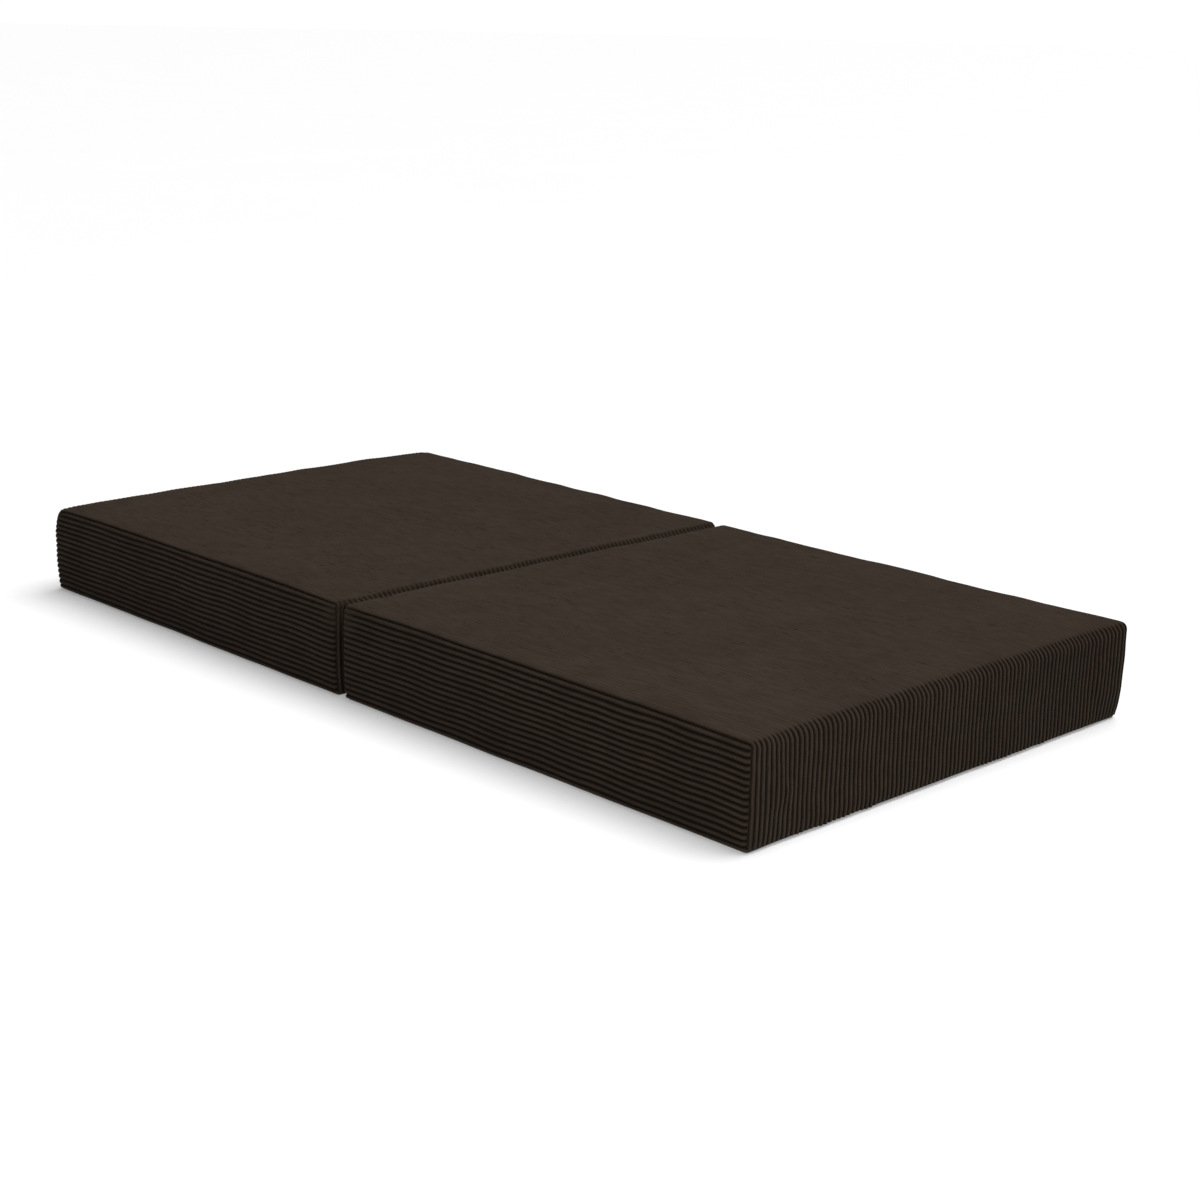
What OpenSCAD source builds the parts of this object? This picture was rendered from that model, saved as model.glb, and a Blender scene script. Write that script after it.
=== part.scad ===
// Folding futon mattress: two corduroy-covered foam blocks joined by a fabric hinge along their top edges.
// Millimetres. +X runs from the head block to the foot block, +Y to the zip side, +Z up.
// The origin is on the floor, under the middle of the open mattress.

/* [Mattress] */
// Length of the mattress when it lies open
mattress_l = 1905; // [1200:5:2400]
// Width of the mattress
mattress_w = 965; // [500:5:1600]
// Height of each block
block_h = 176; // [110:1:260]
// Gap between the two blocks when the mattress lies open
hinge_gap = 16; // [10:1:40]
// Radius of every edge of the covers
edge_r = 14; // [9:1:30]

/* [Cover and liner] */
// Thickness of the corduroy, base fabric included
cover_t = 2.4; // [1.8:0.1:4]
// Thickness of the inner liner
liner_t = 0.8; // [0.4:0.1:1.5]
// How far the side panels reach past the rounded edges, on to the top, base and ends
side_lap = 2; // [1:0.5:20]
// Height of the seam between the base panel and the panels above it
base_rim = 4; // [3:0.5:10]

/* [Foam] */
// Thickness of the soft comfort layer on top
comfort_h = 52; // [20:1:90]

/* [Hinge strip] */
// Depth of the hinge strip below the top of the blocks
strip_depth = 7; // [4:0.5:20]
// Thickness of the hinge strip
strip_t = 2.4; // [1.2:0.1:4]
// Distance that the hinge strip stops short of the side seams
strip_inset = 2; // [0:1:60]
// Space on each side of the fold plane
fold_clearance = 0.2; // [0.1:0.05:1]

/* [Zip] */
// Height of the zip's centre line above the floor
zip_z = 34; // [30:1:60]
// Distance from each end of a block to the zip's slot
zip_inset = 30; // [24:1:80]
// Width of one row of coils
coil_w = 2.9; // [2:0.1:4]
// Thickness of the coils
coil_h = 2.2; // [1.5:0.1:3]
// Space between the two rows of coils, for the slider's post
coil_gap = 1.0; // [0.8:0.1:2]
// Thickness of the zip tape
tape_t = 0.6; // [0.4:0.1:1]
// Width of the tape hidden behind the panel, beyond the slot
tape_lap = 8; // [4:1:12]
// Free space between the far side of the cover and the liner, for the slider
zip_room = 3; // [2.4:0.1:6]
// Length of the slider
slider_l = 11; // [8:0.5:16]
// Thickness of the slider's plates
plate_t = 1.1; // [0.8:0.1:1.3]
// Thickness of the slider's post
post_t = 0.6; // [0.4:0.05:0.6]
// Length of the pull tab, from its pivot
pull_l = 24; // [14:1:40]
// Width of the pull tab
pull_w = 6; // [5:0.5:9]
// Radius of the pull's pivot bar
pivot_r = 0.7; // [0.5:0.05:1]

/* [Care label] */
// Width of the label
label_w = 36; // [20:1:60]
// Height of the label
label_h = 48; // [20:1:70]
// Thickness of the label
label_t = 0.5; // [0.3:0.1:1]

/* [Hidden] */
$fn = 48;
block_l = (mattress_l - hinge_gap) / 2;
half_w = mattress_w / 2;
seam_y = half_w - edge_r - side_lap; // seams between the wrap panel and the side panels
liner_y = half_w - cover_t - zip_room; // far side of the liner
foam_inset = cover_t + liner_t;
support_top = block_h - foam_inset - comfort_h;
slider_clearance = 0.25; // between the slider and the coils, tape and fabric
flange_t = 1.0; // side walls of the slider
slot_clearance = 0.6; // between the slider and the edges of the slot
tape_clearance = 0.6; // between each tape's edge and the slider's post
chain_half_h = coil_w + coil_gap / 2;
flange_z = chain_half_h + slider_clearance;
slot_half_h = flange_z + flange_t + slot_clearance;
tape_y = half_w - cover_t; // inner face of the tape, flush with the inside of the panel
coil_y = tape_y + tape_t; // coils lie on the outer face of the tape
plate_y = coil_y + coil_h + slider_clearance; // underside of the slider's outer plate
stop_l = 2.4; // length of a stop along the zip
stop_t = 0.7; // how far a stop stands above the coils
stop_half_h = 1.1; // of the two small stops at the closed end
stop_gap = 1; // between the slider and the nearest stop, at each end of its travel
zip_end = block_l - zip_inset; // local x of the zip's open end
slider_x = zip_inset + stop_l + stop_gap + slider_l / 2; // slider's middle when the zip is closed
bridge_w = 2.2; // width of the bridge that holds the pull
bridge_t = 0.8; // thickness of its strap
bridge_leg = 3.2; // distance from the pivot to the outside of its legs
pivot_clearance = 0.3; // round the pull's pivot bar
pull_t = 1.0; // thickness of the pull
pull_lift = 0.05; // extra height of the pull over the slider's plate
pivot_y = plate_y + plate_t + pivot_clearance + pull_lift + pivot_r;
bridge_top_y = pivot_y + pivot_r + pivot_clearance;
pull_window = bridge_leg + 2; // length of the window that goes round the bridge
label_z = 78; // bottom of the label
past = 1; // how far a cutting shape runs past the face that it cuts

// Every block is modelled in its own frame: x = 0 at its hinge face and growing to its outer end.
module place(block) {
    if (block == "foot") translate([hinge_gap / 2, 0, 0]) children();
    if (block == "head") mirror([1, 0, 0]) translate([hinge_gap / 2, 0, 0]) children();
}

// A box from corner a to corner b with every edge rounded to radius r
module rounded_box(a, b, r) {
    s = b - a;
    translate(a + [r, r, 0]) cube([s.x - 2 * r, s.y - 2 * r, s.z]);
    translate(a + [r, 0, r]) cube([s.x - 2 * r, s.y, s.z - 2 * r]);
    translate(a + [0, r, r]) cube([s.x, s.y - 2 * r, s.z - 2 * r]);
    for (y = [a.y + r, b.y - r], z = [a.z + r, b.z - r])
        translate([a.x + r, y, z]) rotate([0, 90, 0]) cylinder(h = s.x - 2 * r, r = r);
    for (x = [a.x + r, b.x - r], z = [a.z + r, b.z - r])
        translate([x, a.y + r, z]) rotate([-90, 0, 0]) cylinder(h = s.y - 2 * r, r = r);
    for (x = [a.x + r, b.x - r], y = [a.y + r, b.y - r])
        translate([x, y, a.z + r]) cylinder(h = s.z - 2 * r, r = r);
    for (x = [a.x + r, b.x - r], y = [a.y + r, b.y - r], z = [a.z + r, b.z - r])
        translate([x, y, z]) sphere(r = r);
}

// A plain box from corner a to corner b
module span_box(a, b) {
    translate(a) cube(b - a);
}

module cover_outside() {
    rounded_box([0, -half_w, 0], [block_l, half_w, block_h], edge_r);
}

// The cover as one shell, before it is cut into its panels
module cover_shell() {
    difference() {
        cover_outside();
        rounded_box([cover_t, -half_w + cover_t, cover_t],
                    [block_l - cover_t, half_w - cover_t, block_h - cover_t], edge_r - cover_t);
    }
}

// Space of the shell between the two side panels, from z0 to z1
module between_sides(z0, z1) {
    span_box([-past, -seam_y, z0], [block_l + past, seam_y, z1]);
}

module wrap_panel() {
    color("#3c342d") intersection() {
        cover_shell();
        between_sides(base_rim, block_h + past);
    }
}

module base_panel() {
    color("#2a2826") intersection() {
        cover_shell();
        between_sides(-past, base_rim);
    }
}

module near_side_panel() {
    color("#352d27") intersection() {
        cover_shell();
        span_box([-past, -half_w - past, -past], [block_l + past, -seam_y, block_h + past]);
    }
}

// The far side panel has the zip's slot, and a rebate on its inside for the tapes
module far_side_panel() {
    color("#352d27") difference() {
        intersection() {
            cover_shell();
            span_box([-past, seam_y, -past], [block_l + past, half_w + past, block_h + past]);
        }
        span_box([zip_inset, tape_y - past, zip_z - slot_half_h],
                 [zip_end, half_w + past, zip_z + slot_half_h]);
        span_box([zip_inset, tape_y - past, zip_z - slot_half_h - tape_lap],
                 [zip_end, coil_y, zip_z + slot_half_h + tape_lap]);
    }
}

// Space inside the liner, or the liner's outside when grow is the liner's thickness
module liner_space(grow) {
    inset = foam_inset - grow;
    rounded_box([inset, -half_w + inset, inset],
                [block_l - inset, liner_y - liner_t + grow, block_h - inset], edge_r - inset);
}

module liner() {
    color("#e8e4da") difference() {
        liner_space(liner_t);
        liner_space(0);
    }
}

module support_foam() {
    color("#e9d79a") intersection() {
        liner_space(0);
        span_box([0, -half_w, 0], [block_l, half_w, support_top]);
    }
}

module comfort_foam() {
    color("#f3efe2") intersection() {
        liner_space(0);
        span_box([0, -half_w, support_top], [block_l, half_w, block_h]);
    }
}

// One half of the hinge strip: from the rounded edge of a block to the fold plane.
// The blocks fold about a line just above their tops, so the strip stays clear of the other half.
module hinge_strip_half() {
    end_y = seam_y - strip_inset;
    color("#3c342d") difference() {
        span_box([-hinge_gap / 2 + fold_clearance, -end_y, block_h - strip_depth - strip_t],
                 [edge_r, end_y, block_h - strip_depth]);
        cover_outside();
    }
}

// side is 1 for what is above the zip's centre line and -1 for what is below it
module zip_tape(side) {
    low = post_t / 2 + tape_clearance;
    high = slot_half_h + tape_lap;
    color("#1c1917") translate([zip_inset, tape_y, zip_z + (side > 0 ? low : -high)])
        cube([zip_end - zip_inset, tape_t, high - low]);
}

module zip_coil(side) {
    r = coil_h / 2;
    color("#26211d") translate([zip_inset, coil_y + r, zip_z + side * (coil_gap + coil_w) / 2])
        rotate([90, 0, 90]) linear_extrude(zip_end - zip_inset) {
            square([coil_h, coil_w - coil_h], center = true);
            for (end = [-1, 1]) translate([0, end * (coil_w - coil_h) / 2]) circle(r = r);
        }
}

// Two small stops at the closed end and one across both rows of coils at the open end
module zip_stops() {
    module crimp(x, z0, z1) {
        span_box([x, coil_y + coil_h, z0], [x + stop_l, coil_y + coil_h + stop_t, z1]);
    }
    color("#6b5a43") {
        for (side = [-1, 1]) {
            row_z = zip_z + side * (coil_gap + coil_w) / 2;
            crimp(zip_inset, row_z - stop_half_h, row_z + stop_half_h);
        }
        crimp(zip_end - stop_l, zip_z - chain_half_h, zip_z + chain_half_h);
    }
}

module zip_slider() {
    outer_half = flange_z + flange_t;
    color("#6b5a43") translate([slider_x, 0, zip_z]) {
        // outer plate and its two flanges
        translate([-slider_l / 2, plate_y, -outer_half]) cube([slider_l, plate_t, 2 * outer_half]);
        for (z = [-outer_half, flange_z])
            translate([-slider_l / 2, coil_y + slider_clearance, z])
                cube([slider_l, plate_y - coil_y - slider_clearance, flange_t]);
        // inner plate, and the post that joins the plates between the rows of coils
        translate([-slider_l / 2, tape_y - slider_clearance - plate_t, -outer_half])
            cube([slider_l, plate_t, 2 * outer_half]);
        translate([-slider_l / 2, tape_y - slider_clearance, -post_t / 2])
            cube([slider_l / 3, plate_y - tape_y + slider_clearance, post_t]);
        // bridge that holds the pull
        for (x = [-bridge_leg, bridge_leg - bridge_t])
            translate([x, plate_y + plate_t, -bridge_w / 2])
                cube([bridge_t, bridge_top_y - plate_y - plate_t, bridge_w]);
        translate([-bridge_leg, bridge_top_y, -bridge_w / 2]) cube([2 * bridge_leg, bridge_t, bridge_w]);
    }
}

module zip_pull() {
    arm_z = bridge_w / 2 + pivot_clearance;
    arm_t = pull_w / 2 - arm_z;
    color("#6b5a43") translate([slider_x, pivot_y, zip_z]) {
        translate([0, 0, -pull_w / 2]) cylinder(h = pull_w, r = pivot_r);
        for (z = [-pull_w / 2, arm_z])
            translate([0, -pull_t / 2, z]) cube([pull_window, pull_t, arm_t]);
        translate([pull_window, -pull_t / 2, -pull_w / 2])
            cube([pull_l - pull_window - pull_w / 2, pull_t, pull_w]);
        translate([pull_l - pull_w / 2, pull_t / 2, 0]) rotate([90, 0, 0]) cylinder(h = pull_t, d = pull_w);
    }
}

module care_label() {
    color("#d8d4cb") translate([block_l - edge_r - label_w, half_w, label_z]) cube([label_w, label_t, label_h]);
}

module sub_part(block, name) {
    place(block) {
        if (name == "support_foam") support_foam();
        if (name == "comfort_foam") comfort_foam();
        if (name == "liner") liner();
        if (name == "wrap_panel") wrap_panel();
        if (name == "near_side_panel") near_side_panel();
        if (name == "far_side_panel") far_side_panel();
        if (name == "base_panel") base_panel();
        if (name == "hinge_strip_half") hinge_strip_half();
        if (name == "zip_tape_upper") zip_tape(1);
        if (name == "zip_tape_lower") zip_tape(-1);
        if (name == "zip_coil_upper") zip_coil(1);
        if (name == "zip_coil_lower") zip_coil(-1);
        if (name == "zip_stops") zip_stops();
        if (name == "zip_slider") zip_slider();
        if (name == "zip_pull") zip_pull();
        if (name == "care_label") care_label();
    }
}

sub_part("head", "support_foam");  // head_support_foam
sub_part("head", "comfort_foam");  // head_comfort_foam
sub_part("head", "liner");  // head_liner
sub_part("head", "wrap_panel");  // head_wrap_panel
sub_part("head", "near_side_panel");  // head_near_side_panel
sub_part("head", "far_side_panel");  // head_far_side_panel
sub_part("head", "base_panel");  // head_base_panel
sub_part("head", "hinge_strip_half");  // head_hinge_strip_half
sub_part("head", "zip_tape_upper");  // head_zip_tape_upper
sub_part("head", "zip_tape_lower");  // head_zip_tape_lower
sub_part("head", "zip_coil_upper");  // head_zip_coil_upper
sub_part("head", "zip_coil_lower");  // head_zip_coil_lower
sub_part("head", "zip_stops");  // head_zip_stops
sub_part("head", "zip_slider");  // head_zip_slider
sub_part("head", "zip_pull");  // head_zip_pull
sub_part("head", "care_label");  // head_care_label
sub_part("foot", "support_foam");  // foot_support_foam
sub_part("foot", "comfort_foam");  // foot_comfort_foam
sub_part("foot", "liner");  // foot_liner
sub_part("foot", "wrap_panel");  // foot_wrap_panel
sub_part("foot", "near_side_panel");  // foot_near_side_panel
sub_part("foot", "far_side_panel");  // foot_far_side_panel
sub_part("foot", "base_panel");  // foot_base_panel
sub_part("foot", "hinge_strip_half");  // foot_hinge_strip_half
sub_part("foot", "zip_tape_upper");  // foot_zip_tape_upper
sub_part("foot", "zip_tape_lower");  // foot_zip_tape_lower
sub_part("foot", "zip_coil_upper");  // foot_zip_coil_upper
sub_part("foot", "zip_coil_lower");  // foot_zip_coil_lower
sub_part("foot", "zip_stops");  // foot_zip_stops
sub_part("foot", "zip_slider");  // foot_zip_slider
sub_part("foot", "zip_pull");  // foot_zip_pull
sub_part("foot", "care_label");  // foot_care_label
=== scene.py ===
"""Folding futon mattress in dark brown wide-wale corduroy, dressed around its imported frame.

Two foam blocks lie end to end, joined by a corduroy strip in the valley between their tops. Each
block's cover is cut from a wrap panel, two side panels and a base panel, and closes with a zip.
"""
import logging
import math
from dataclasses import dataclass, field
from enum import Enum
from typing import Callable, Sequence

import bmesh
import bpy
import numpy as np
from mathutils import Matrix, Vector
from mathutils.kdtree import KDTree


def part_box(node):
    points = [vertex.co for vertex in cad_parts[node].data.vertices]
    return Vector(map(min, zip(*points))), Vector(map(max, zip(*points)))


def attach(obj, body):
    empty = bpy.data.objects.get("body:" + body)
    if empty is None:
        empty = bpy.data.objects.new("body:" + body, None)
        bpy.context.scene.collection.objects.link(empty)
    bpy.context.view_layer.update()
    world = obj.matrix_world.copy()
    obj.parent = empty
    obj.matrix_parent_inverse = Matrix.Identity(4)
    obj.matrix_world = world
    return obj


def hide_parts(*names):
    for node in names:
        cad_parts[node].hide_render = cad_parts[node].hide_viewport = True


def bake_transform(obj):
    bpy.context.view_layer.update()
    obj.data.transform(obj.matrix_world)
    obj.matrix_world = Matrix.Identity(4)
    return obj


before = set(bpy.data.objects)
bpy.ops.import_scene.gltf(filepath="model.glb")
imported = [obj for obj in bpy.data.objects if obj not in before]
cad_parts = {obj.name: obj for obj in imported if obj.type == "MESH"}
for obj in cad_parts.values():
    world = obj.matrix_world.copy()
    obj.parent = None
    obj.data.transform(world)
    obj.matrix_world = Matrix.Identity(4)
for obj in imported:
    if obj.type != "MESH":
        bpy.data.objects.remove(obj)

LOG = logging.getLogger("futon_mattress")
MM = 0.001
EIGHTH_TURN = math.pi / 4.0
Colour = tuple[float, float, float]


def smooth(value: np.ndarray | float) -> np.ndarray | float:
    """Returns value eased from 0 to 1, level at both ends."""
    held = np.clip(value, 0.0, 1.0)
    return held * held * (3.0 - 2.0 * held)


def mix(low: np.ndarray | float, high: np.ndarray | float, share: np.ndarray | float) -> np.ndarray | float:
    """Returns the value that lies share of the way from low to high."""
    return low + (high - low) * share


@dataclass(frozen=True)
class Ripple:
    """A seeded sum of sine waves: the smooth unevenness of sewn fabric over foam.

    Attributes:
        seed: Picks the waves, which are the same on every run.
        wavelength: Typical distance between crests.
        height: Typical height of a crest.
        waves: How many waves are added.
    """

    seed: int
    wavelength: float
    height: float
    waves: int = 7

    def at(self, points: np.ndarray) -> np.ndarray:
        """Returns the unevenness at each point.

        Args:
            points: One row of coordinates for each point, in metres.

        Returns:
            One height for each point, in metres.
        """
        draws = np.random.default_rng(self.seed)
        ways = draws.normal(size=(self.waves, points.shape[1]))
        ways /= np.linalg.norm(ways, axis=1)[:, None]
        turns = ways / (self.wavelength * draws.uniform(0.7, 1.7, self.waves))[:, None]
        start = draws.uniform(0.0, 2.0 * math.pi, self.waves)
        phase = points @ turns.T * 2.0 * math.pi + start
        return self.height * np.sin(phase).sum(axis=1) / math.sqrt(self.waves)


def stations(length: float, start_r: float, end_r: float, arc_steps: int, flat_steps: int) -> np.ndarray:
    """Spaces rows along one face of a block, close together where the face turns into its neighbours.

    Args:
        length: Length of the face between its sharp edges.
        start_r: Radius of the edge at the start.
        end_r: Radius of the edge at the end.
        arc_steps: Rows on each edge's half of the turn.
        flat_steps: Rows between the two turns.

    Returns:
        Distances from the start, from 0 to length.
    """
    turn = np.linspace(EIGHTH_TURN, 0.0, arc_steps + 1)
    opening = start_r * (1.0 - np.tan(turn))
    closing = length - end_r * (1.0 - np.tan(turn[::-1]))
    flat = np.linspace(start_r, length - end_r, flat_steps + 1)
    return np.concatenate([opening[:-1], flat, closing[1:]])


def across_arc(distance: np.ndarray, length: float, start_r: float, end_r: float) -> np.ndarray:
    """Turns distances measured over a face's rounded ends into places between its sharp edges.

    Args:
        distance: Distances along the cloth from the seam at the start.
        length: Length of the face between its sharp edges.
        start_r: Radius of the edge at the start.
        end_r: Radius of the edge at the end.

    Returns:
        Places along the sharp face, from 0 to length.
    """
    start_arc = start_r * math.pi / 4.0
    whole = cloth_width(length, start_r, end_r)
    end_arc = end_r * math.pi / 4.0
    place = distance - start_arc + start_r
    turned_in = np.clip((start_arc - distance) / start_r, 0.0, EIGHTH_TURN)
    turned_out = np.clip((distance - whole + end_arc) / end_r, 0.0, EIGHTH_TURN)
    opening = start_r * (1.0 - np.tan(turned_in))
    closing = length - end_r * (1.0 - np.tan(turned_out))
    place = np.where(distance < start_arc, opening, place)
    return np.where(distance > whole - end_arc, closing, place)


def cloth_width(length: float, start_r: float, end_r: float) -> float:
    """Returns the width of cloth over a face, from the middle of one rounded edge to the other's."""
    return length - (start_r + end_r) * (1.0 - EIGHTH_TURN)


# ---------------------------------------------------------------- shape of a block


@dataclass(frozen=True)
class BlockForm:
    """The soft outer form of one block, in its own frame: x grows from its hinge face to its outer end.

    Attributes:
        side: 1 for the foot block, and -1 for the head block, which is its mirror image.
        hinge_x: Distance from the fold plane to the hinge face.
        length: From the hinge face to the outer end.
        half_w: Half the width.
        height: Height of the block.
        seed: Picks the block's own unevenness.
        shoulder_r: Radius between the top and the long sides.
        foot_r: Radius between the long sides and the base.
        corner_r: Radius of the upright corners at the outer end.
        hinge_r: Radius of the upright corners at the hinge face.
        end_r: Radius between the top and the outer end.
        hinge_top_r: Radius between the top and the hinge face.
        base_r: Radius round the base.
        softening: Distance from a long side over which the end radii take over.
        belly: How far the sides bulge at half height.
        tuck: How far the sides are drawn in at the base.
        tuck_h: Height up to which they are drawn in.
        crown: How much lower the top is at its edges than in its middle.
        crown_power: How flat the middle of the top is.
        reach: Distance over which one face's shape gives way to the next.
        corner_top_r: Radius of the top's outer corners.
        end_bulge: Share of the bulge at the outer end.
        hinge_belly: Share of the belly at the hinge face.
        hinge_tuck: Share of the tuck at the hinge face.
        quiet_bulge: Bulge of a side where it is held flat.
        turn_gain: How soon the cloth counts as turning an edge.
        slack: Wavelength and height of the tuck's variation.
        broad: Wavelength and height of the widest unevenness.
        fine: Wavelength and height of the narrower unevenness.
        puckers: Wavelength and height of the puckers where the cloth turns.
        patch: Wavelength and height of the pile's variation on the top.
        edge_closed: How far the pile closes the grooves near the top's edges.
        top_closed: How far it closes them inside those.
        valley_closed: How far it closes them in the valley at the hinge.
    """

    side: int
    hinge_x: float
    length: float
    half_w: float
    height: float
    seed: int
    shoulder_r: float = 12.5 * MM
    foot_r: float = 14.0 * MM
    corner_r: float = 13.0 * MM
    hinge_r: float = 9.0 * MM
    end_r: float = 21.0 * MM
    hinge_top_r: float = 17.0 * MM
    base_r: float = 6.0 * MM
    softening: float = 95.0 * MM
    belly: float = 1.5 * MM
    tuck: float = 1.6 * MM
    tuck_h: float = 50.0 * MM
    crown: float = 2.0 * MM
    crown_power: float = 3.5
    reach: float = 60.0 * MM
    corner_top_r: float = 13.0 * MM
    end_bulge: float = 0.8
    hinge_belly: float = 0.3
    hinge_tuck: float = 0.5
    quiet_bulge: float = 0.5 * MM
    turn_gain: float = 3.4
    slack: tuple[float, float] = (140.0 * MM, 0.5)
    broad: tuple[float, float] = (230.0 * MM, 0.9 * MM)
    fine: tuple[float, float] = (70.0 * MM, 0.4 * MM)
    puckers: tuple[float, float] = (48.0 * MM, 1.1 * MM)
    patch: tuple[float, float] = (110.0 * MM, 0.05)
    edge_closed: float = 0.76
    top_closed: float = 0.9
    valley_closed: float = 0.35

    def radii(self, sharp: np.ndarray) -> tuple[np.ndarray, np.ndarray]:
        """Gives the radii of the rounded edges near each point.

        Args:
            sharp: Points on the block's sharp box.

        Returns:
            The radii along x, y and z on each point's side of the block, and the same on the other side.
        """
        x, y, z = sharp.T
        inward = smooth((self.half_w - np.abs(y)) / self.softening)
        outer = smooth(x / self.length * 2.0 - 0.5)
        high_up = smooth((z - self.height + self.reach) / self.reach)
        near_end = smooth((x - self.length + self.reach) / self.reach)
        along = mix(mix(self.corner_r, self.corner_top_r, high_up), self.end_r, inward)
        across = mix(self.foot_r, self.shoulder_r, smooth(z / self.height))
        side_top = mix(self.shoulder_r, self.corner_top_r, near_end)
        top = mix(side_top, mix(self.hinge_top_r, self.end_r, outer), inward)
        low = np.stack([np.full_like(x, self.hinge_r), across, np.full_like(x, self.base_r)], axis=1)
        high = np.stack([along, across, top], axis=1)
        return low, high

    def soften(self, sharp: np.ndarray) -> tuple[np.ndarray, np.ndarray]:
        """Rounds the edges of the sharp box.

        Args:
            sharp: Points on the sharp box.

        Returns:
            The points moved on to the rounded form, and the outward normals there.
        """
        low_r, high_r = self.radii(sharp)
        floor = np.array([0.0, -self.half_w, 0.0])
        ceiling = np.array([self.length, self.half_w, self.height])
        core = np.clip(sharp, floor + low_r, ceiling - high_r)
        radius = np.where(sharp > core, high_r, low_r)
        way = (sharp - core) / radius
        way /= np.linalg.norm(way, axis=1)[:, None]
        normal = way / radius
        normal /= np.linalg.norm(normal, axis=1)[:, None]
        return core + way * radius, normal

    def settle(self, points: np.ndarray, quiet: np.ndarray | float = 0.0) -> np.ndarray:
        """Gives the form its crown, its bellied sides and the curve under its lower edges.

        Args:
            points: Points on the rounded form.
            quiet: From 0 to 1, how far the unevenness is held back at each point.

        Returns:
            The points of the filled cover.
        """
        x, y, z = points.T
        level = z / self.height
        belly = 4.0 * self.belly * level * (1.0 - level)
        slack = 1.0 + Ripple(self.seed + 7, *self.slack).at(points[:, :2])
        tuck = self.tuck * slack * np.clip(1.0 - z / self.tuck_h, 0.0, 1.0) ** 2
        bulge = belly - tuck
        side_share = smooth((np.abs(y) - self.half_w + self.reach) / self.reach)
        end_share = smooth((x - self.length + self.reach) / self.reach)
        hinge_share = smooth((self.reach - x) / self.reach)
        inner_x = 1.0 - np.abs(2.0 * x / self.length - 1.0) ** self.crown_power
        inner_y = 1.0 - np.abs(y / self.half_w) ** self.crown_power
        fall = 1.0 - inner_x * inner_y
        loud = 1.0 - quiet
        moved = points.copy()
        moved[:, 1] += np.sign(y) * side_share * mix(self.quiet_bulge, bulge, loud)
        hinge_bulge = hinge_share * (self.hinge_belly * belly - self.hinge_tuck * tuck)
        moved[:, 0] += end_share * self.end_bulge * bulge - hinge_bulge
        moved[:, 2] -= self.crown * fall * smooth(level)
        return moved

    def unevenness(self, points: np.ndarray, normals: np.ndarray) -> np.ndarray:
        """Says how far the cloth stands in or out.

        Args:
            points: Points on the rounded form.
            normals: The outward normals there.

        Returns:
            One distance for each point, largest where the cloth turns an edge.
        """
        turning = np.clip(self.turn_gain * (1.0 - np.abs(normals).max(axis=1)), 0.0, 1.0)
        broad = Ripple(self.seed, *self.broad).at(points)
        fine = Ripple(self.seed + 1, *self.fine).at(points)
        puckers = Ripple(self.seed + 6, *self.puckers).at(points)
        return broad + fine + turning * puckers

    def opening(self, points: np.ndarray, normals: np.ndarray) -> np.ndarray:
        """Says how far the pile stands apart at the grooves, from 0 to 1.

        Args:
            points: Points on the rounded form.
            normals: The outward normals there.

        Returns:
            One value for each point, low on the flat top, where the pile of neighbouring wales meets.
        """
        # The corduroy material also reads this value: it scales the painted shade on the wales' flanks, so
        # the sides and ends are painted darker than the top.
        x, y, z = points.T
        flat = smooth((normals[:, 2] - 0.82) / 0.17)
        from_end = smooth((self.length - x) / (1.4 * self.reach))
        inner = from_end * smooth((self.half_w - np.abs(y)) / self.reach)
        patchy = Ripple(self.seed + 5, *self.patch).at(points)
        apart = 1.0 - flat * mix(self.edge_closed, self.top_closed + patchy, inner)
        by_hinge = smooth(1.5 - x / (0.5 * self.reach))
        valley = by_hinge * smooth((z - self.height + self.reach) / (0.5 * self.reach))
        return np.clip(apart * (1.0 - self.valley_closed * valley), 0.0, 1.0)

    def to_world(self, points: np.ndarray) -> np.ndarray:
        """Returns points of the block's own frame in the object's frame."""
        return np.stack([self.side * (self.hinge_x + points[:, 0]), points[:, 1], points[:, 2]], axis=1)


# ---------------------------------------------------------------- corduroy panels


@dataclass(frozen=True)
class Wales:
    """The ribs of the corduroy.

    Attributes:
        pitch: Width of one wale, groove included.
        depth: Height of a wale above its groove.
        profile: Across one wale, pairs of a place from 0 to 1 and a height from 0 to 1.
        wander: How far a wale strays from a straight line.
    """

    pitch: float = 10.6 * MM
    depth: float = 3.0 * MM
    profile: tuple[tuple[float, float], ...] = (
        (0.0, 0.0), (0.13, 0.6), (0.36, 0.97), (0.64, 0.97), (0.87, 0.6))
    wander: float = 0.8 * MM

    def layout(self, width: float) -> tuple[np.ndarray, np.ndarray, np.ndarray]:
        """Fits whole wales across a panel.

        Args:
            width: Width of the cloth from seam to seam.

        Returns:
            Distances of the grid lines from the first seam, their heights from 0 to 1, and their
            places counted in wales.
        """
        count = round(width / self.pitch)
        places = [wale + place for wale in range(count) for place, _ in self.profile] + [float(count)]
        heights = [height for _ in range(count) for _, height in self.profile] + [0.0]
        counted = np.array(places)
        return counted * width / count, np.array(heights), counted


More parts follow.
